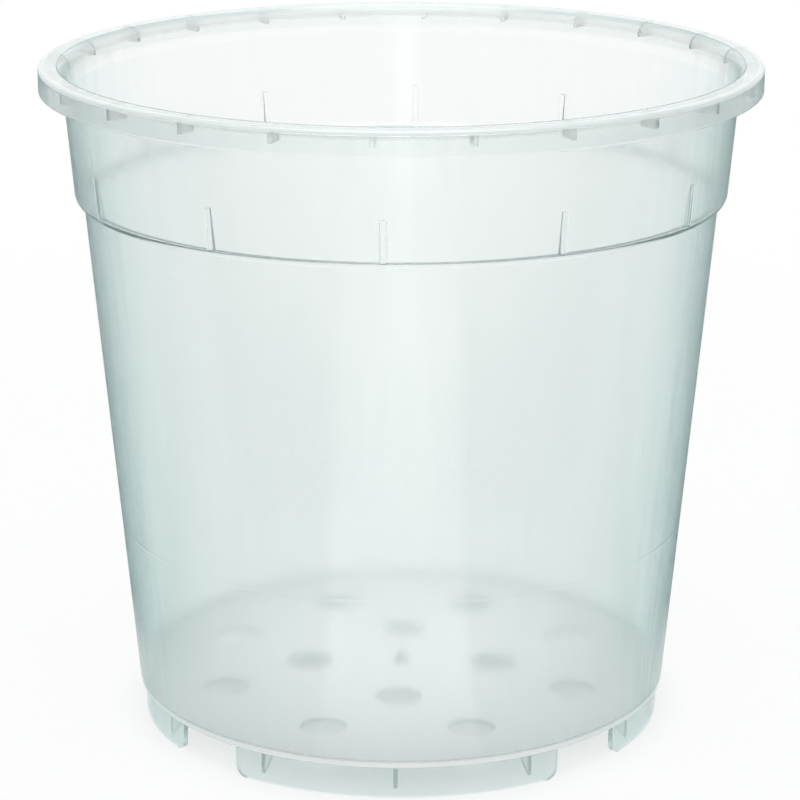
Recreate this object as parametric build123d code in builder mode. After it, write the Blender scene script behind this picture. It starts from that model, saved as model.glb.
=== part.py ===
from build123d import *
from math import degrees, radians, tan
import os

# A clear orchid pot on a slotted foot ring. The pot is one thin plastic moulding, and its
# moulded regions are the named solids here: they meet face to face along the pot's own lines.
# Millimetres, +Z up. The origin is the middle of the circle that the feet stand on, and the
# first foot faces the front, -Y. Angles about the axis count from the front towards +X.

# Overall
pot_height = 160.5
rim_radius = 85.0
wall_thickness = 0.8

# Webs and ribs meet flat faces without a gap, and stay this far from the round faces beside them
web_gap = 0.2

# Rim: a flat flange with a turned-down skirt, and gussets between the skirt and the collar
rim_overhang = 5.45
flange_thickness = 1.2
rim_edge_round = 1.1
skirt_depth = 5.9
skirt_thickness = 0.9
rim_gusset_count = 24
rim_gusset_thickness = 1.0
rim_gusset_lift = 2.1
rim_gusset_turn = -3.0

# Collar: the wide upper band, with a rounded step below it that forms a ledge inside
collar_depth = 30.0
collar_draft = 4.47
shoulder_step = 2.1
ledge_thickness = 1.45

# Stacking ribs: they stand on the ledge and keep nested pots from jamming
rib_count = 12
rib_thickness = 1.2
rib_height = 9.7
rib_top_depth = 0.5
rib_foot_depth = 1.3
rib_turn = -1.6

# Tapered wall, with a moulded witness line around it
wall_draft = 5.01
witness_height = 49.5
base_edge_round = 0.3

# Floor: a flat disc with two rings of drain holes, and the stub of the moulding gate
floor_thickness = 1.0
hole_diameter = 11.0
outer_hole_count = 8
outer_hole_inset = 18.4
inner_hole_count = 4
hole_ring_step = 22.7
gate_radius = 1.9
gate_tip_radius = 0.3
gate_height = 3.0

# Feet: arcs of a ring under the floor, with air slots between them and gussets inside
foot_count = 4
foot_height = 7.8
foot_inset = 1.28
foot_thickness = 1.2
foot_corner_round = 3.0
slot_width = 19.1
gussets_per_foot = 3
foot_gusset_thickness = 1.0
foot_gusset_reach = 6.0
foot_gusset_lift = 2.0
foot_gusset_end = 7.2

# Heights that several regions share
flange_under = pot_height - flange_thickness
skirt_bottom = pot_height - skirt_depth
shoulder_top = pot_height - collar_depth
shoulder_bottom = shoulder_top - shoulder_step
ledge_top = shoulder_bottom + ledge_thickness
floor_top = foot_height + floor_thickness


def collar_outside(height):
    return rim_radius - rim_overhang - (flange_under - height) * tan(radians(collar_draft))


def collar_inside(height):
    return collar_outside(height) - wall_thickness


# Where the shoulder's round outside ends, and the wall begins
shoulder_centre = collar_outside(shoulder_top) - shoulder_step


def wall_outside(height):
    return shoulder_centre - (shoulder_bottom - height) * tan(radians(wall_draft))


def wall_inside(height):
    return wall_outside(height) - wall_thickness


skirt_inside = rim_radius - skirt_thickness
foot_outside = wall_outside(foot_height) - foot_inset
foot_inside = foot_outside - foot_thickness
outer_hole_circle = wall_inside(floor_top) - outer_hole_inset
inner_hole_circle = outer_hole_circle - hole_ring_step


def radial_plane(angle):
    """The upright plane through the axis, with its X pointing out at this angle from the front."""
    front = Axis.Y.direction * -1
    return Plane(
        origin=(0, 0, 0),
        x_dir=front.rotate(Axis.Z, angle),
        z_dir=front.rotate(Axis.Z, angle - 90),
    )


def save(piece, name):
    piece.part.label = name
    export_step(piece.part, f"parts/{name}.step")


os.makedirs("parts", exist_ok=True)

# Rim, turned as one inverted channel with a rounded lip and a rounded outer edge
lip_radius = collar_inside(flange_under)
lip_flat = lip_radius + flange_thickness
edge_flat = rim_radius - rim_edge_round
with BuildPart() as rim:
    with BuildSketch(Plane.XZ):
        with BuildLine():
            CenterArc((lip_flat, flange_under), flange_thickness, 180, -90)
            Line((lip_flat, pot_height), (edge_flat, pot_height))
            CenterArc((edge_flat, pot_height - rim_edge_round), rim_edge_round, 90, -90)
            Polyline(
                (rim_radius, pot_height - rim_edge_round),
                (rim_radius, skirt_bottom),
                (skirt_inside, skirt_bottom),
                (skirt_inside, flange_under),
                (lip_radius, flange_under),
            )
        make_face()
    revolve(axis=Axis.Z)
save(rim, "rim")


def turned_band(bottom, top, outside, inside):
    """A band of the pot's wall between two heights, turned about the axis."""
    with BuildPart() as band:
        with BuildSketch(Plane.XZ):
            with BuildLine():
                Polyline(
                    (outside(bottom), bottom),
                    (outside(top), top),
                    (inside(top), top),
                    (inside(bottom), bottom),
                    close=True,
                )
            make_face()
        revolve(axis=Axis.Z)
    return band


collar = turned_band(shoulder_top, flange_under, collar_outside, collar_inside)
save(collar, "collar")

# Shoulder, a quarter round outside, and a flat ledge inside
with BuildPart() as shoulder:
    with BuildSketch(Plane.XZ):
        with BuildLine():
            CenterArc((shoulder_centre, shoulder_top), shoulder_step, -90, 90)
            Polyline(
                (collar_outside(shoulder_top), shoulder_top),
                (collar_inside(shoulder_top), shoulder_top),
                (collar_inside(ledge_top), ledge_top),
                (wall_inside(ledge_top), ledge_top),
                (wall_inside(shoulder_bottom), shoulder_bottom),
                (shoulder_centre, shoulder_bottom),
            )
        make_face()
    revolve(axis=Axis.Z)
save(shoulder, "shoulder")

wall_upper = turned_band(witness_height, shoulder_bottom, wall_outside, wall_inside)
save(wall_upper, "wall_upper")

# The lower wall reaches down past the floor to the pot's base edge
lower_band = turned_band(foot_height, witness_height, wall_outside, wall_inside)
with BuildPart() as wall_lower:
    add(lower_band.part)
    base_edge = wall_lower.edges().group_by(Axis.Z)[0].sort_by(SortBy.LENGTH)[-1]
    fillet(base_edge, base_edge_round)
save(wall_lower, "wall_lower")

# Floor, a disc inside the lower wall with two rings of round drain holes
with BuildPart() as floor:
    with BuildSketch(Plane.XZ):
        with BuildLine():
            Polyline(
                (0, foot_height),
                (wall_inside(foot_height), foot_height),
                (wall_inside(floor_top), floor_top),
                (0, floor_top),
                close=True,
            )
        make_face()
    revolve(axis=Axis.Z)
    with BuildSketch(Plane.XY.offset(foot_height)):
        with PolarLocations(inner_hole_circle, inner_hole_count):
            Circle(hole_diameter / 2)
        with PolarLocations(outer_hole_circle, outer_hole_count, start_angle=180 / outer_hole_count):
            Circle(hole_diameter / 2)
    extrude(amount=floor_thickness, mode=Mode.SUBTRACT)
save(floor, "floor")

# Gate stub, the small cone left where the plastic ran in, at the middle of the floor
with BuildPart() as gate_stub:
    with BuildSketch(Plane.XZ):
        with BuildLine():
            Polyline(
                (0, floor_top),
                (gate_radius, floor_top),
                (gate_tip_radius, floor_top + gate_height),
                (0, floor_top + gate_height),
                close=True,
            )
        make_face()
    revolve(axis=Axis.Z)
save(gate_stub, "gate_stub")

# Feet, arcs of one ring, with rounded lower corners at the slots between them
foot_pitch = 360 / foot_count
foot_span = foot_pitch - degrees(slot_width / foot_outside)
for index in range(foot_count):
    with BuildPart() as foot:
        with BuildSketch(radial_plane(index * foot_pitch - foot_span / 2)):
            with BuildLine():
                Polyline(
                    (foot_inside, 0),
                    (foot_outside, 0),
                    (foot_outside, foot_height),
                    (foot_inside, foot_height),
                    close=True,
                )
            make_face()
        revolve(axis=Axis.Z, revolution_arc=foot_span)
        lower_corners = foot.edges().filter_by(GeomType.LINE).group_by(Axis.Z)[0]
        fillet(lower_corners, foot_corner_round)
    save(foot, f"foot_{index + 1}")


def radial_web(outline, angle, thickness, radius):
    """A thin flat web standing along the radius at this angle, with this thickness there."""
    span = degrees(thickness / radius)
    with BuildPart() as web:
        with BuildSketch(radial_plane(angle - span / 2)):
            with BuildLine():
                Polyline(*outline, close=True)
            make_face()
        revolve(axis=Axis.Z, revolution_arc=span)
    return web


# Foot gussets, three-cornered webs between the floor's underside and each foot's inner face
foot_gusset_outside = foot_inside - web_gap
foot_gusset_outline = [
    (foot_gusset_outside, foot_height),
    (foot_gusset_outside, foot_gusset_lift),
    (foot_gusset_outside - foot_gusset_reach, foot_height),
]
foot_gusset_first = degrees(foot_gusset_end / foot_inside) - foot_span / 2
foot_gusset_pitch = -2 * foot_gusset_first / (gussets_per_foot - 1)
for index in range(foot_count * gussets_per_foot):
    foot_index, place = divmod(index, gussets_per_foot)
    angle = foot_index * foot_pitch + foot_gusset_first + place * foot_gusset_pitch
    foot_gusset = radial_web(foot_gusset_outline, angle, foot_gusset_thickness, foot_inside)
    save(foot_gusset, f"foot_gusset_{index + 1:02d}")

# Rim gussets, webs across the channel under the flange
rim_gusset_bottom = skirt_bottom + rim_gusset_lift
rim_gusset_outline = [
    (collar_outside(flange_under) + web_gap, flange_under),
    (skirt_inside - web_gap, flange_under),
    (skirt_inside - web_gap, rim_gusset_bottom),
    (collar_outside(rim_gusset_bottom) + web_gap, rim_gusset_bottom),
]
for index in range(rim_gusset_count):
    angle = rim_gusset_turn + index * 360 / rim_gusset_count
    rim_gusset = radial_web(rim_gusset_outline, angle, rim_gusset_thickness, skirt_inside)
    save(rim_gusset, f"rim_gusset_{index + 1:02d}")

# Stacking ribs, seated on the ledge along the collar's inner face
rib_top = ledge_top + rib_height
rib_outline = [
    (collar_inside(ledge_top) - rib_foot_depth, ledge_top),
    (collar_inside(ledge_top) - web_gap, ledge_top),
    (collar_inside(rib_top) - web_gap, rib_top),
    (collar_inside(rib_top) - rib_top_depth, rib_top),
]
for index in range(rib_count):
    angle = rib_turn + index * 360 / rib_count
    rib = radial_web(rib_outline, angle, rib_thickness, collar_inside(ledge_top))
    save(rib, f"stacking_rib_{index + 1:02d}")
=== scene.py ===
from math import asin, cos, degrees, pi, radians, sin, sqrt

import bmesh
import bpy
from mathutils import Matrix, Vector


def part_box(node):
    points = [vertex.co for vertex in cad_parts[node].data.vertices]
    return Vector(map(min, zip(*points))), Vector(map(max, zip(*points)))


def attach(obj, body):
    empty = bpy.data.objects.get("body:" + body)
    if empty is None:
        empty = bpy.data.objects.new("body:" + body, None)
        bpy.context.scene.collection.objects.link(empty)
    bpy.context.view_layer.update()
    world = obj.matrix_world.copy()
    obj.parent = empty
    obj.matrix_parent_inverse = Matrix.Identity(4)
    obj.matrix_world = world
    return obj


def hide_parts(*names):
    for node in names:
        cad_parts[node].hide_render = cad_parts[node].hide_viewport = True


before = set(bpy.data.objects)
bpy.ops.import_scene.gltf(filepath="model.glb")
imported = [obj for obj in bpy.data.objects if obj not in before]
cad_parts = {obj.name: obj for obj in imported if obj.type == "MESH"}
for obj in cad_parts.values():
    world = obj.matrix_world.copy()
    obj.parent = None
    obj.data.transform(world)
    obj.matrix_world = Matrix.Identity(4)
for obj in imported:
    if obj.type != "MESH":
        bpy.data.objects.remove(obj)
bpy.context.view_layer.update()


# Rim: the flat flange around the mouth, with a flared lip inside and a skirt turned down outside.
# Clear polypropylene, moulded in one shot with the whole pot. All the turned regions add to one
# section line, outside and inside, which is turned into the shell further down.
rim_low, rim_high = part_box("rim")
collar_low, collar_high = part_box("collar")
pot_height = rim_high.z
rim_radius = rim_high.x
skirt_bottom = rim_low.z
flange_under = collar_high.z
wall_thickness = 0.0008
skirt_thickness = 0.0009
skirt_inside = rim_radius - skirt_thickness
skirt_edge_round = 0.0003
skirt_foot = skirt_bottom + skirt_edge_round
rim_edge_round = 0.0011
rim_edge_centre = rim_radius - rim_edge_round
channel_fillet = rim_edge_round - skirt_thickness
channel_top = flange_under - channel_fillet
lip_flare = 0.00175
lip_turn = 55
lip_radius = collar_high.x - wall_thickness
lip_edge = lip_radius + lip_flare
lip_round = lip_flare / (1 - cos(radians(lip_turn)))
lip_centre = lip_radius + lip_round
lip_start = pot_height - lip_round * sin(radians(lip_turn))
lip_back = lip_round - wall_thickness
lip_back_turn = degrees(asin((flange_under - lip_start) / lip_back))
lip_line_width = 0.00025
lip_line_depth = 0.00012
lip_line = lip_edge + lip_line_width
lip_steps = 12
small_round_steps = 4


def arc(centre_radius, centre_height, size, start, end, steps=8):
    """Points of a round in the section line, from one angle to another, in degrees."""
    turns = [radians(start + (end - start) * step / steps) for step in range(steps + 1)]
    return [(centre_radius + size * cos(turn), centre_height + size * sin(turn)) for turn in turns]


def small_arc(centre_radius, centre_height, size, start, end):
    """Points of a round that is too small to need many of them."""
    return arc(centre_radius, centre_height, size, start, end, small_round_steps)


outside_line = arc(lip_centre, lip_start, lip_round, 180, 180 - lip_turn, lip_steps)
outside_line.append((lip_line - lip_line_width / 2, pot_height - lip_line_depth))
outside_line.append((lip_line, pot_height))
outside_line += arc(rim_edge_centre, pot_height - rim_edge_round, rim_edge_round, 90, 0)
outside_line += small_arc(rim_radius - skirt_edge_round, skirt_foot, skirt_edge_round, 0, -90)
outside_line += small_arc(skirt_inside + skirt_edge_round, skirt_foot, skirt_edge_round, -90, -180)
outside_line += small_arc(skirt_inside - channel_fillet, channel_top, channel_fillet, 0, 90)
outside_line += arc(lip_centre, lip_start, lip_back, 180 - lip_back_turn, 180)
inside_line = []


# Collar: the wide upper band of the pot, slightly tapered so that it leaves the mould.
# The same thin plastic as the rim above and the shoulder below it.
shoulder_low, shoulder_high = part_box("shoulder")
collar_bottom_radius = shoulder_high.x
collar_bottom = collar_low.z
collar_taper = (collar_high.x - collar_bottom_radius) / (flange_under - collar_bottom)
outside_line.append((collar_bottom_radius, collar_bottom))


def collar_outside(height):
    """Radius of the collar's outer face at a height."""
    return collar_high.x - (flange_under - height) * collar_taper


def collar_inside(height):
    """Radius of the collar's inner face at a height."""
    return collar_outside(height) - wall_thickness


# Shoulder: the rounded step where the collar draws in to the wall, of the same thin plastic.
# Inside it is a narrow, flat ledge, on which the ribs stand.
rib_low, rib_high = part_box("stacking_rib_01")
shoulder_bottom = shoulder_low.z
shoulder_round = collar_bottom - shoulder_bottom
shoulder_centre = collar_bottom_radius - shoulder_round
shoulder_start = 9
shoulder_end = 68
shoulder_foot = collar_bottom - shoulder_round / sin(radians(shoulder_end))
wall_top_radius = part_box("wall_upper")[1].x
ledge_top = rib_low.z
ledge_fillet = 0.0003
ledge_round = 0.0003
ledge_round_steps = 6
ledge_corner = collar_inside(ledge_top) - ledge_fillet
ledge_edge = wall_top_radius - wall_thickness + ledge_round
outside_line += arc(shoulder_centre, collar_bottom, shoulder_round, -shoulder_start, -shoulder_end)
inside_line += small_arc(ledge_corner, ledge_top + ledge_fillet, ledge_fillet, 0, -90)
inside_line += arc(ledge_edge, ledge_top - ledge_round, ledge_round, 90, 180, ledge_round_steps)


# Wall: the long tapered side of the pot, with a fine witness line low down where the mould's core
# and its base insert meet. It ends in the pot's base edge, just below the floor.
lower_wall_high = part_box("wall_lower")[1]
floor_low, floor_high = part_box("floor")
witness_height = lower_wall_high.z
witness_step = 0.00003
witness_width = 0.00025
base_height = floor_low.z
floor_top = floor_high.z
base_edge_round = 0.0003
wall_taper = (wall_top_radius - lower_wall_high.x) / (shoulder_bottom - witness_height)


def wall_outside(height):
    """Radius of the wall's outer face at a height."""
    return wall_top_radius - (shoulder_bottom - height) * wall_taper


def wall_inside(height):
    """Radius of the wall's inner face at a height."""
    return wall_outside(height) - wall_thickness


outside_line.append((wall_outside(shoulder_foot), shoulder_foot))
outside_line.append((wall_outside(base_height), base_height + base_edge_round))
outside_line.append((wall_outside(base_height) - base_edge_round, base_height))
inside_line.append((wall_inside(witness_height + witness_width), witness_height + witness_width))
inside_line.append((wall_inside(witness_height) - witness_step, witness_height))
inside_line.append((wall_inside(witness_height - witness_width), witness_height - witness_width))
inside_line.append((wall_inside(floor_top), floor_top))


# Floor and gate stub: the flat bottom of the pot, with the small cone that is left in its middle
# where the plastic ran into the mould. Here the section line closes, and the shell is turned.
gate_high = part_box("gate_stub")[1]
gate_radius = gate_high.x
gate_tip_radius = 0.0003
shell_steps = 360
holding_inset = 0.00025
shortest_held_run = 4 * holding_inset
outside_line.append((0, base_height))
inside_line.append((gate_radius, floor_top))
inside_line.append((gate_tip_radius, gate_high.z))
inside_line.append((0, gate_high.z))


def put_in_scene(mesh_in_work, name):
    """Closes the work on a mesh and puts it into the scene as an object."""
    bmesh.ops.recalc_face_normals(mesh_in_work, faces=mesh_in_work.faces)
    mesh = bpy.data.meshes.new(name)
    mesh_in_work.to_mesh(mesh)
    mesh_in_work.free()
    piece = bpy.data.objects.new(name, mesh)
    bpy.context.scene.collection.objects.link(piece)
    return piece


def with_holding_rings(outline):
    """The outline with a point near both ends of each long run, so that shading turns only there."""
    held = [outline[0]]
    for (start_radius, start_height), (end_radius, end_height) in zip(outline, outline[1:]):
        widening = end_radius - start_radius
        rise = end_height - start_height
        length = sqrt(widening**2 + rise**2)
        if length > shortest_held_run:
            for share in (holding_inset / length, 1 - holding_inset / length):
                held.append((start_radius + widening * share, start_height + rise * share))
        held.append((end_radius, end_height))
    return held


def turned_shell(outline, steps, name):
    """A closed mesh turned about the axis, from an outline that starts and ends on the axis."""
    work = bmesh.new()
    turns = [2 * pi * step / steps for step in range(steps)]
    rings = []
    for radius, height in with_holding_rings(outline):
        if radius == 0:
            rings.append([work.verts.new((0, 0, height))] * steps)
        else:
            spots = [(radius * sin(turn), -radius * cos(turn), height) for turn in turns]
            rings.append([work.verts.new(spot) for spot in spots])
    for ring, next_ring in zip(rings, rings[1:]):
        for step in range(steps):
            after = (step + 1) % steps
            corners = [ring[step], ring[after], next_ring[after], next_ring[step]]
            work.faces.new(list(dict.fromkeys(corners)))
    return put_in_scene(work, name)


pot = turned_shell(list(reversed(outside_line)) + inside_line, shell_steps, "pot")


# Drain holes: twelve round holes through the floor, in a ring of eight and a ring of four.
# They are left open by pins in the mould.
hole_radius = 0.0055
outer_hole_count = 8
outer_hole_inset = 0.0184
outer_hole_circle = wall_inside(floor_top) - outer_hole_inset
outer_hole_pitch = 360 / outer_hole_count
inner_hole_count = 4
hole_ring_step = 0.0227
inner_hole_circle = outer_hole_circle - hole_ring_step
inner_hole_pitch = 360 / inner_hole_count
hole_overcut = 0.001
hole_steps = 96


def cut_or_join(target, piece, operation):
    """Joins a piece to the moulding, or cuts it out, and drops the piece's own object."""
    moulding = target.modifiers.new("moulding", "BOOLEAN")
    moulding.operation = operation
    moulding.solver = "MANIFOLD"
    moulding.object = piece
    evaluated = target.evaluated_get(bpy.context.evaluated_depsgraph_get())
    joined = bpy.data.meshes.new_from_object(evaluated)
    target.modifiers.clear()
    target.data = joined
    bpy.data.objects.remove(piece)


def from_front(angle):
    """The direction at an angle from the pot's front, in degrees towards its right."""
    return Vector((sin(radians(angle)), -cos(radians(angle)), 0))


pins = bmesh.new()
hole_places = []
for index in range(inner_hole_count):
    hole_places.append(from_front(inner_hole_pitch * index) * inner_hole_circle)
for index in range(outer_hole_count):
    hole_places.append(from_front(outer_hole_pitch * (index + 0.5)) * outer_hole_circle)
for hole_place in hole_places:
    hole_place.z = (base_height + floor_top) / 2
    bmesh.ops.create_cone(
        pins,
        cap_ends=True,
        segments=hole_steps,
        radius1=hole_radius,
        radius2=hole_radius,
        depth=floor_top - base_height + 2 * hole_overcut,
        matrix=Matrix.Translation(hole_place),
    )
cut_or_join(pot, put_in_scene(pins, "hole_pins"), "DIFFERENCE")


# Feet: four arcs of a ring under the floor, with open slots between them and rounded lower corners.
# Moulded on to the floor's underside, into which they bite a little so that they join.
foot_count = 4
foot_pitch = 360 / foot_count
foot_outside = -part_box("foot_1")[0].y
foot_thickness = 0.0012
foot_inside = foot_outside - foot_thickness
foot_corner_round = 0.003
slot_width = 0.0191
foot_span = foot_pitch - degrees(slot_width / foot_outside)
foot_length = radians(foot_span) * foot_outside
middle_length = foot_length - 2 * foot_corner_round
corner_steps = 12
middle_steps = 56
bite = 0.0003


def foot_edge(from_end):
    """Height of a foot's lower edge at a distance from its end, along the ring."""
    if from_end >= foot_corner_round:
        return 0
    return foot_corner_round - sqrt(foot_corner_round**2 - (foot_corner_round - from_end) ** 2)


corner_turns = [pi / 2 * step / corner_steps for step in range(corner_steps)]
first_corner = [foot_corner_round * (1 - cos(turn)) for turn in corner_turns]
last_corner = [foot_length - along for along in reversed(first_corner)]
between_corners = []
for step in range(middle_steps + 1):
    between_corners.append(foot_corner_round + middle_length * step / middle_steps)
feet = bmesh.new()
for index in range(foot_count):
    columns = []
    for along in first_corner + between_corners + last_corner:
        out = from_front(index * foot_pitch - foot_span / 2 + along / foot_length * foot_span)
        bottom = Vector((0, 0, foot_edge(min(along, foot_length - along))))
        top = Vector((0, 0, base_height + bite))
        corners = [out * foot_outside + bottom, out * foot_outside + top]
        corners += [out * foot_inside + top, out * foot_inside + bottom]
        columns.append([feet.verts.new(corner) for corner in corners])
    for column, next_column in zip(columns, columns[1:]):
        for corner in range(len(column)):
            after = (corner + 1) % len(column)
            side_corners = [column[corner], column[after], next_column[after], next_column[corner]]
            feet.faces.new(side_corners)
    feet.faces.new(columns[0])
    feet.faces.new(columns[-1])
cut_or_join(pot, put_in_scene(feet, "feet"), "UNION")


# Foot gussets: three-cornered webs of the same plastic between the floor's underside and each foot,
# three to a foot. They are moulded on to the floor, and stay a hair clear of the round foot.
foot_gusset_thickness = 0.001
foot_gusset_reach = 0.006
foot_gusset_lift = 0.002
foot_gusset_end = 0.0072
web_gap = 0.0002
foot_gusset_outside = foot_inside - web_gap
foot_gusset_inside = foot_gusset_outside - foot_gusset_reach
foot_gusset_turn = foot_span / 2 - degrees(foot_gusset_end / foot_inside)
foot_gusset_outline = [
    (foot_gusset_outside, base_height + bite),
    (foot_gusset_outside, foot_gusset_lift),
    (foot_gusset_inside, base_height),
    (foot_gusset_inside, base_height + bite),
]


def add_web(work, outline, angle, thickness):
    """Adds a flat web that stands along the radius at this angle, from its outline."""
    out = from_front(angle)
    half = from_front(angle + 90) * thickness / 2
    middle = [out * radius + Vector((0, 0, height)) for radius, height in outline]
    near = [work.verts.new(spot - half) for spot in middle]
    far = [work.verts.new(spot + half) for spot in middle]
    work.faces.new(near)
    work.faces.new(far)
    for corner in range(len(outline)):
        after = (corner + 1) % len(outline)
        work.faces.new([near[corner], near[after], far[after], far[corner]])


foot_gussets = bmesh.new()
for index in range(foot_count):
    for turn in (-foot_gusset_turn, 0, foot_gusset_turn):
        add_web(foot_gussets, foot_gusset_outline, index * foot_pitch + turn, foot_gusset_thickness)
cut_or_join(pot, put_in_scene(foot_gussets, "foot_gussets"), "UNION")


# Rim gussets: twenty-four thin webs of the same plastic in the channel between skirt and collar.
# They are moulded on to the flange and the collar, and stay a hair clear of the round skirt.
rim_gusset_count = 24
rim_gusset_pitch = 360 / rim_gusset_count
rim_gusset_thickness = 0.001
rim_gusset_turn = -3.0
rim_gusset_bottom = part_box("rim_gusset_01")[0].z
rim_gusset_outside = skirt_inside - web_gap
rim_gusset_root = lip_round - wall_thickness / 2
rim_gusset_root_steps = 3
rim_gusset_outline = [
    (rim_gusset_outside, flange_under + bite),
    (rim_gusset_outside, rim_gusset_bottom),
    (collar_outside(rim_gusset_bottom) - bite, rim_gusset_bottom),
]
rim_gusset_outline += arc(
    lip_centre, lip_start, rim_gusset_root, 180, 180 - lip_back_turn, rim_gusset_root_steps
)
rim_gussets = bmesh.new()
for index in range(rim_gusset_count):
    angle = rim_gusset_turn + index * rim_gusset_pitch
    add_web(rim_gussets, rim_gusset_outline, angle, rim_gusset_thickness)
cut_or_join(pot, put_in_scene(rim_gussets, "rim_gussets"), "UNION")


# Stacking ribs: twelve upright ribs on the ledge, moulded on to the inside of the collar. They carry
# the next pot of a nested stack, so that the tapered walls don't jam.
rib_count = 12
rib_pitch = 360 / rib_count
rib_thickness = 0.0012
rib_turn = -1.6
rib_top = rib_high.z
rib_top_depth = 0.0005
rib_foot_depth = 0.0013
rib_root = 0.00025


def rib_end(work, angle, face_height, depth, end_height):
    """The outline of one end of a rib, spread at its root along the collar."""
    out = from_front(angle)
    sideways = from_front(angle + 90)
    lift = Vector((0, 0, end_height))
    face = collar_inside(face_height)
    half = rib_thickness / 2
    right_half = [(face - depth, half), (face - rib_root, half)]
    right_half += [(face, half + rib_root), (face + bite, half + rib_root)]
    left_half = [(reach, -aside) for reach, aside in reversed(right_half)]
    spots = [out * reach + sideways * aside + lift for reach, aside in right_half + left_half]
    return [work.verts.new(spot) for spot in spots]


ribs = bmesh.new()
for index in range(rib_count):
    angle = rib_turn + index * rib_pitch
    rib_foot_end = rib_end(ribs, angle, ledge_top, rib_foot_depth, ledge_top - bite)
    ribs.faces.new(rib_foot_end)
    rib_top_end = rib_end(ribs, angle, rib_top, rib_top_depth, rib_top)
    ribs.faces.new(rib_top_end)
    for corner in range(len(rib_foot_end)):
        after = (corner + 1) % len(rib_foot_end)
        foot_corners = [rib_foot_end[corner], rib_foot_end[after]]
        ribs.faces.new(foot_corners + [rib_top_end[after], rib_top_end[corner]])
cut_or_join(pot, put_in_scene(ribs, "stacking_ribs"), "UNION")


# Finish of the moulding: clear polypropylene, a little milky, with the fine upright drawing lines
# that the polished steel of the mould leaves, and a cool tint where one looks along the wall, which is
# partly painted shade. Painted shade also darkens the feet and the base edge, and partly the top of the
# rim.
sharp_edge = 30
plastic_ior = 1.49
depth_colour = (0.25, 0.70, 0.65, 1)
depth_density = 20.0
pot.data.set_sharp_from_angle(angle=radians(sharp_edge))
for face in pot.data.polygons:
    face.use_smooth = True


def empty_finish(name):
    """A new material with nothing but its output, and the tree of its nodes."""
    material = bpy.data.materials.new(name)
    material.use_nodes = True
    material.node_tree.nodes.clear()
    material_output = material.node_tree.nodes.new("ShaderNodeOutputMaterial")
    return material, material.node_tree, material_output


def lead(source, socket):
    """Leads a value on to a socket of the same finish."""
    source.id_data.links.new(source, socket)


def soft_ramp(source, from_low, from_high, to_low, to_high):
    """A soft ramp from one range of values to another."""
    ramp = source.id_data.nodes.new("ShaderNodeMapRange")
    ramp.interpolation_type = "SMOOTHSTEP"
    for socket, value in zip(ramp.inputs[1:5], (from_low, from_high, to_low, to_high)):
        socket.default_value = value
    lead(source, ramp.inputs["Value"])
    return ramp.outputs["Result"]


def reckon(operation, first, second=0):
    """A calculation with one value and another value or number."""
    sum_node = first.id_data.nodes.new("ShaderNodeMath")
    sum_node.operation = operation
    lead(first, sum_node.inputs[0])
    if isinstance(second, (int, float)):
        sum_node.inputs[1].default_value = second
    else:
        lead(second, sum_node.inputs[1])
    return sum_node.outputs[0]


def length_of(vector):
    """The length of a vector value."""
    length_node = vector.id_data.nodes.new("ShaderNodeVectorMath")
    length_node.operation = "LENGTH"
    lead(vector, length_node.inputs[0])
    return length_node.outputs["Value"]


def part_of(vector, axis):
    """One axis of a vector value."""
    split_node = vector.id_data.nodes.new("ShaderNodeSeparateXYZ")
    lead(vector, split_node.inputs[0])
    return split_node.outputs[axis]


plastic, plastic_tree, plastic_output = empty_finish("clear_plastic")
body = plastic_tree.nodes.new("ShaderNodeBsdfPrincipled")
body.inputs["IOR"].default_value = plastic_ior
lead(body.outputs["BSDF"], plastic_output.inputs["Surface"])
depth = plastic_tree.nodes.new("ShaderNodeVolumeAbsorption")
depth.inputs["Color"].default_value = depth_colour
depth.inputs["Density"].default_value = depth_density
lead(depth.outputs["Volume"], plastic_output.inputs["Volume"])

# Which way a face of the pot looks, and its height and distance from the axis
flat_slopes = (0.3, 0.9)
crosswise_turns = (0.1, 0.5)
shape = plastic_tree.nodes.new("ShaderNodeNewGeometry")
plastic_place = plastic_tree.nodes.new("ShaderNodeTexCoord").outputs["Object"]
slope = part_of(shape.outputs["Normal"], "Z")
height_here = part_of(plastic_place, "Z")
level_place = plastic_tree.nodes.new("ShaderNodeVectorMath")
level_place.operation = "MULTIPLY"
level_place.inputs[1].default_value = (1, 1, 0)
lead(plastic_place, level_place.inputs[0])
radius_here = length_of(level_place.outputs[0])
outward = plastic_tree.nodes.new("ShaderNodeVectorMath")
outward.operation = "NORMALIZE"
lead(level_place.outputs[0], outward.inputs[0])
turned_outward = plastic_tree.nodes.new("ShaderNodeVectorMath")
turned_outward.operation = "DOT_PRODUCT"
lead(shape.outputs["Normal"], turned_outward.inputs[0])
lead(outward.outputs[0], turned_outward.inputs[1])
flatness = soft_ramp(reckon("ABSOLUTE", slope), *flat_slopes, 0, 1)
upright = soft_ramp(flatness, 0, 1, 1, 0)
crosswise = soft_ramp(reckon("ABSOLUTE", turned_outward.outputs["Value"]), *crosswise_turns, 1, 0)
along_ring = soft_ramp(crosswise, 0, 1, 1, 0)

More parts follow.
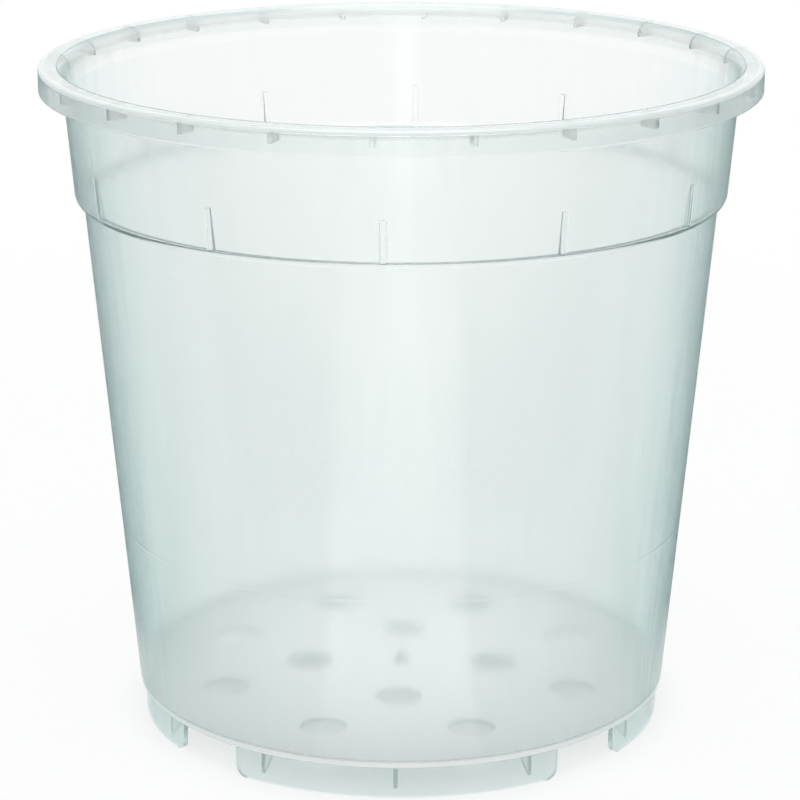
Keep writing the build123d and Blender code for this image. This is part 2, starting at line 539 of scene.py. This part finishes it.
# The plastic is clearest in the thin wall, and milkier on top of the rim, in the webs, feet and floor
fine_blend = 0.0002
soft_blend = 0.001
wall_milkiness = 0.03
rib_milkiness = 0.1
rim_gusset_extra = 0.2
floor_milkiness = 0.95
floor_edge_milkiness = 0.9
rim_edge_milkiness = 0.7
flange_milkiness = 0.4
foot_milkiness = 0.25
gate_milkiness = 0.65
lip_milkiness = 0.3
ledge_milkiness = 0.15
rim_slopes = (0.02, 0.15)
wall_milk = soft_ramp(height_here, skirt_bottom - 2 * soft_blend, skirt_bottom, wall_milkiness, 0)
foot_share = soft_ramp(height_here, floor_top, floor_top + 3 * fine_blend, foot_milkiness, 0)
foot_milk = reckon("MULTIPLY", foot_share, along_ring)
base_blend = (base_height - fine_blend, base_height + fine_blend / 2)
above_base = soft_ramp(height_here, *base_blend, 0, floor_edge_milkiness)
top_blend = (floor_top + fine_blend, floor_top + fine_blend + soft_blend)
below_top = soft_ramp(height_here, *top_blend, 1, 0)
floor_edge_milk = reckon("MULTIPLY", reckon("MULTIPLY", above_base, below_top), upright)
gate_milk = soft_ramp(radius_here, gate_radius, gate_radius + 2 * fine_blend, gate_milkiness, 0)
floor_share = soft_ramp(height_here, floor_top, floor_top + 2 * soft_blend, 1, 0)
floor_milk = reckon("MULTIPLY", reckon("MULTIPLY", flatness, floor_share), floor_milkiness)
rim_top = reckon("GREATER_THAN", height_here, flange_under)
rim_share = reckon("MULTIPLY", soft_ramp(slope, *rim_slopes, 0, 1), rim_top)
edge_start = rim_edge_centre - rim_edge_round
edge_share = soft_ramp(radius_here, edge_start, rim_edge_centre, 0, rim_edge_milkiness)
flange_share = soft_ramp(radius_here, lip_line, lip_line + fine_blend, 0, flange_milkiness)
rim_milk = reckon("MULTIPLY", rim_share, reckon("MAXIMUM", edge_share, flange_share))
lip_share = soft_ramp(height_here, lip_start, lip_start + soft_blend, 0, lip_milkiness)
within_lip = soft_ramp(radius_here, lip_edge - fine_blend / 2, lip_edge, 1, 0)
lip_milk = reckon("MULTIPLY", lip_share, within_lip)
ledge_start = ledge_top - 4 * fine_blend
ledge_share = soft_ramp(height_here, ledge_start, ledge_start + 2 * fine_blend, 0, ledge_milkiness)
below_ribs = soft_ramp(height_here, ledge_top + ledge_fillet, ledge_top + 2 * ledge_fillet, 1, 0)
ledge_milk = reckon("MULTIPLY", flatness, reckon("MULTIPLY", ledge_share, below_ribs))
rib_share = soft_ramp(height_here, base_height - fine_blend, base_height + fine_blend, 0, rib_milkiness)
gusset_share = soft_ramp(height_here, skirt_bottom, rim_gusset_bottom, 0, rim_gusset_extra)
web_share = reckon("ADD", rib_share, gusset_share)
web_milk = reckon("MULTIPLY", reckon("MULTIPLY", crosswise, upright), web_share)
milky_regions = [foot_milk, floor_edge_milk, gate_milk, floor_milk]
milky_regions += [rim_milk, lip_milk, ledge_milk, web_milk]
milk = wall_milk
for region_milk in milky_regions:
    milk = reckon("MAXIMUM", milk, region_milk)
clearness = reckon("MULTIPLY", reckon("SUBTRACT", milk, 1), -1)
lead(clearness, body.inputs["Transmission Weight"])

# Fine upright lines, drawn out along the mould's steel, and a little more haze on the skirt
line_stretch = (1, 1, 0.02)
line_scale = 420
line_detail = 3
line_range = (0.3, 0.7)
haze_range = (0.11, 0.16)
skirt_extra_haze = 0.05
line_relief = 0.00005
line_relief_strength = 0.15
stretch = plastic_tree.nodes.new("ShaderNodeMapping")
stretch.inputs["Scale"].default_value = line_stretch
lead(plastic_place, stretch.inputs["Vector"])
lines = plastic_tree.nodes.new("ShaderNodeTexNoise")
lines.inputs["Scale"].default_value = line_scale
lines.inputs["Detail"].default_value = line_detail
lead(stretch.outputs["Vector"], lines.inputs["Vector"])
line_haze = soft_ramp(lines.outputs["Fac"], *line_range, *haze_range)
on_skirt = soft_ramp(height_here, skirt_bottom - soft_blend, skirt_bottom, 0, skirt_extra_haze)
skirt_haze = reckon("MULTIPLY", on_skirt, upright)
lead(reckon("ADD", line_haze, skirt_haze), body.inputs["Roughness"])
relief = plastic_tree.nodes.new("ShaderNodeBump")
relief.inputs["Distance"].default_value = line_relief
lead(reckon("MULTIPLY", upright, line_relief_strength), relief.inputs["Strength"])
lead(lines.outputs["Fac"], relief.inputs["Height"])
lead(relief.outputs["Normal"], body.inputs["Normal"])

# A cool tint that deepens where one looks along the upright wall, partly from the longer path through
# the tinted plastic and partly painted shade for the dark edges there. It also grows towards the bottom
# of the wall, paints shade in the feet and at the base edge, and on top of the rim is both tint and
# painted shade.
clear_colour = (0.99, 1.0, 0.995, 1)
cool_tint_and_shade_colour = (0.58, 0.80, 0.785, 1)
facing_blend = 0.5
wall_edge_power = 2.2
skirt_edge_power = 4.5
uneven_share = 0.04
low_wall_share = 0.1
foot_shade_share = 0.27
base_edge_shade_share = 0.03
rim_tint_and_shade_share = 0.2
facing = plastic_tree.nodes.new("ShaderNodeLayerWeight")
facing.inputs["Blend"].default_value = facing_blend
power_heights = (skirt_bottom - 2 * soft_blend, skirt_bottom)
edge_power = soft_ramp(height_here, *power_heights, wall_edge_power, skirt_edge_power)
# Partly the longer path through tinted plastic, partly painted shade: edges seen at a glance are tinted
# darker.
edge_tint_and_shade = reckon("POWER", facing.outputs["Facing"], edge_power)
upright_edge_tint_and_shade = reckon("MULTIPLY", edge_tint_and_shade, upright)
uneven_tint = soft_ramp(lines.outputs["Fac"], *line_range, 0, uneven_share)
# Darker towards the bottom of the wall.
low_wall = soft_ramp(height_here, base_height, flange_under, low_wall_share, 0)
low_wall_tint = reckon("MULTIPLY", low_wall, upright)
# Painted shade: the feet, and a little the base edge above them, are tinted darker.
foot_heights = (base_height - fine_blend, base_height + base_edge_round)
foot_shade_ramp = soft_ramp(height_here, *foot_heights, foot_shade_share, base_edge_shade_share)
base_share = soft_ramp(height_here, floor_top, floor_top + soft_blend, 1, 0)
foot_painted_shade = reckon("MULTIPLY", reckon("MULTIPLY", foot_shade_ramp, base_share), along_ring)
# On top of the rim the cool tint also paints shade, holding down the brightness the lamp gives it.
rim_tint_and_shade = reckon("MULTIPLY", rim_share, rim_tint_and_shade_share)
region_tint_and_shade = reckon("MAXIMUM", reckon("MAXIMUM", low_wall_tint, foot_painted_shade), rim_tint_and_shade)
whole_tint_and_shade = reckon("ADD", reckon("ADD", upright_edge_tint_and_shade, uneven_tint), region_tint_and_shade)
colour = plastic_tree.nodes.new("ShaderNodeMix")
colour.data_type = "RGBA"
colour.inputs["A"].default_value = clear_colour
colour.inputs["B"].default_value = cool_tint_and_shade_colour
lead(whole_tint_and_shade, colour.inputs["Factor"])
lead(colour.outputs["Result"], body.inputs["Base Color"])
pot.data.materials.clear()
pot.data.materials.append(plastic)
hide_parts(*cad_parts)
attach(pot, "root")


# Floor of the studio: a plain white sheet of paper that lies flat under the pot. It glows as the white
# room does and fades out into the room. Its glow is weaker under the pot, where it keeps the lamp's
# soft shadow, and grows out to just beyond the feet, where it paints the shadow out with light.
ground_radius = 0.6
ground_steps = 96
paper_colour = (0.88, 0.95, 0.94, 1)
shadow_painted_out_radii = (0.042, 0.075)
glow_shares = (0.35, 0.9)
fade_radii = (0.2, 0.55)
ground = bmesh.new()
bmesh.ops.create_circle(ground, cap_ends=True, segments=ground_steps, radius=ground_radius)
ground_sheet = put_in_scene(ground, "ground_sheet")
paper, paper_tree, paper_output = empty_finish("white_paper")
matt = paper_tree.nodes.new("ShaderNodeBsdfDiffuse")
matt.inputs["Color"].default_value = paper_colour
glow = paper_tree.nodes.new("ShaderNodeEmission")
clear = paper_tree.nodes.new("ShaderNodeBsdfTransparent")
from_pot = length_of(paper_tree.nodes.new("ShaderNodeTexCoord").outputs["Object"])
shine = paper_tree.nodes.new("ShaderNodeMixShader")
# Painted light: the glow rises from under the pot outwards and paints over the pot's shadow there.
lead(soft_ramp(from_pot, *shadow_painted_out_radii, *glow_shares), shine.inputs["Fac"])
lead(matt.outputs[0], shine.inputs[1])
lead(glow.outputs[0], shine.inputs[2])
fading = paper_tree.nodes.new("ShaderNodeMixShader")
lead(soft_ramp(from_pot, *fade_radii, 0, 1), fading.inputs["Fac"])
lead(shine.outputs[0], fading.inputs[1])
lead(clear.outputs[0], fading.inputs[2])
lead(fading.outputs[0], paper_output.inputs["Surface"])
ground_sheet.data.materials.append(paper)


# Studio surround: glowing sheets, not lamps, that show only where the plastic mirrors them and paint
# reflections there: a dark sheet around the white one, lighter near the pot and white far in front,
# that paints the dark edges; a white strip in front; and a tall panel in front that paints a bright
# highlight.
table_radius = 1.5
table_start = 0.07
table_lift = Vector((0, 0, 0.0005))
table_steps = 48
dark_reflection_colour = (0.22, 0.30, 0.30, 1)
light_reflection_colour = (1, 1, 1, 1)
near_pot_end = 0.115
near_pot_light_reflection = 0.6
front_start = -0.25
front_end = -0.55
# Above 1, so that the painted reflection is all white well before the sheet's far end
front_light_reflection = 1.4
strip_lift = 0.001
strip_line = [(-0.075, 0.03), (-0.28, 0.11), (-0.45, 0.11)]
panel_line = [(-0.45, strip_lift), (-1.5, strip_lift), (-1.5, 0.9)]
panel_half_width = 0.1
painted_highlight_glow = 2.0


def reflected_sheet(rows, name, seen_through):
    """A sheet through rows of points that shows in reflections only, and its glow."""
    sheet = bmesh.new()
    corners = [[sheet.verts.new(point) for point in row] for row in rows]
    for row, next_row in zip(corners, corners[1:]):
        for column in range(len(row) - 1):
            after = column + 1
            sheet.faces.new([row[column], row[after], next_row[after], next_row[column]])
    piece = put_in_scene(sheet, name)
    finish, finish_tree, finish_output = empty_finish(name)
    sheet_glow = finish_tree.nodes.new("ShaderNodeEmission")
    ray_so_far = finish_tree.nodes.new("ShaderNodeLightPath")
    see_past = finish_tree.nodes.new("ShaderNodeBsdfTransparent")
    mirrored = finish_tree.nodes.new("ShaderNodeMixShader")
    lead(ray_so_far.outputs["Glossy Depth"], mirrored.inputs["Fac"])
    lead(see_past.outputs[0], mirrored.inputs[1])
    lead(sheet_glow.outputs[0], mirrored.inputs[2])
    lead(mirrored.outputs[0], finish_output.inputs["Surface"])
    piece.data.materials.append(finish)
    piece.visible_camera = False
    piece.visible_diffuse = False
    piece.visible_transmission = seen_through
    piece.visible_volume_scatter = False
    piece.visible_shadow = False
    return sheet_glow


dark_reflection_halves = {"dark_reflection_in_front": (-90, True), "dark_reflection_behind": (90, False)}
for half_name, (start_angle, seen_through) in dark_reflection_halves.items():
    table_rows = []
    for step in range(table_steps + 1):
        out = from_front(start_angle + step * 180 / table_steps)
        table_rows.append([out * radius + table_lift for radius in (table_start, table_radius)])
    dark_reflection_glow = reflected_sheet(table_rows, half_name, seen_through)
    table_tree = dark_reflection_glow.id_data
    table_place = table_tree.nodes.new("ShaderNodeTexCoord").outputs["Object"]
    # Painted reflection: the dark sheet turns lighter near the pot and white far in front.
    near_pot = soft_ramp(length_of(table_place), table_start, near_pot_end, near_pot_light_reflection, 0)
    far_front = soft_ramp(part_of(table_place, "Y"), front_end, front_start, front_light_reflection, 0)
    shade = table_tree.nodes.new("ShaderNodeMix")
    shade.data_type = "RGBA"
    shade.inputs["A"].default_value = dark_reflection_colour
    shade.inputs["B"].default_value = light_reflection_colour
    lead(reckon("MAXIMUM", near_pot, far_front), shade.inputs["Factor"])
    lead(shade.outputs["Result"], dark_reflection_glow.inputs["Color"])
strip_rows = []
for side in (-1, 1):
    strip_rows.append([Vector((side * width, along, strip_lift)) for along, width in strip_line])
# A white strip that paints a reflection in front.
reflected_sheet(strip_rows, "white_reflection_strip", True)
panel_rows = []
for side in (-1, 1):
    panel_rows.append([Vector((side * panel_half_width, along, rise)) for along, rise in panel_line])
# The panel glows brighter than white: a painted highlight on the plastic, chiefly on the skirt.
reflected_sheet(panel_rows, "highlight_panel", True).inputs["Strength"].default_value = painted_highlight_glow


# Light: an even white room, seen as white behind, in and through the plastic, and one broad soft lamp
# above that draws the pot's shadow on the sheet.
room_colour = (1, 1, 1, 1)
room_level = 0.65
shown_level = 1.0
lamp_width = 0.7
lamp_power = 3.2
lamp_place = (0, -0.18, 0.9)
room = bpy.data.worlds.new("white_room")
room.use_nodes = True
bpy.context.scene.world = room
room_light = room.node_tree.nodes["Background"]
room_light.inputs["Color"].default_value = room_colour
ray = room.node_tree.nodes.new("ShaderNodeLightPath")
seen_or_mirrored = reckon("MAXIMUM", ray.outputs["Is Camera Ray"], ray.outputs["Is Glossy Ray"])
shown_white = reckon("MAXIMUM", seen_or_mirrored, ray.outputs["Is Transmission Ray"])
lead(soft_ramp(shown_white, 0, 1, room_level, shown_level), room_light.inputs["Strength"])
lamp_data = bpy.data.lights.new("soft_lamp", "AREA")
lamp_data.shape = "DISK"
lamp_data.size = lamp_width
lamp_data.energy = lamp_power
lamp = bpy.data.objects.new("soft_lamp", lamp_data)
lamp.location = lamp_place
bpy.context.scene.collection.objects.link(lamp)


# Camera: the viewpoint of the photograph, a long lens that looks slightly down on the pot. Rays are
# followed far enough to come through the many layers of clear plastic.
camera_turn = 1.2
camera_pitch = 16.652
camera_distance = 0.70037
camera_height = 0.28608
focal_pixels = 3007.2
picture_pixels = 800
sensor_width = 36
lens_shift_across = -0.0015
lens_shift_up = 0.0006
nearest_seen = 0.01
layers_seen_through = 32
layers_mirrored = 24
lens_data = bpy.data.cameras.new("camera")
lens_data.sensor_width = sensor_width
lens_data.lens = focal_pixels / picture_pixels * sensor_width
lens_data.shift_x = lens_shift_across
lens_data.shift_y = lens_shift_up
lens_data.clip_start = nearest_seen
camera = bpy.data.objects.new("camera", lens_data)
camera.location = from_front(camera_turn) * camera_distance + Vector((0, 0, camera_height))
camera.rotation_euler = (radians(90 - camera_pitch), 0, radians(camera_turn))
bpy.context.scene.collection.objects.link(camera)
bpy.context.scene.camera = camera
bpy.context.scene.view_settings.view_transform = "Standard"
bpy.context.scene.cycles.max_bounces = layers_seen_through
bpy.context.scene.cycles.transmission_bounces = layers_seen_through
bpy.context.scene.cycles.glossy_bounces = layers_mirrored
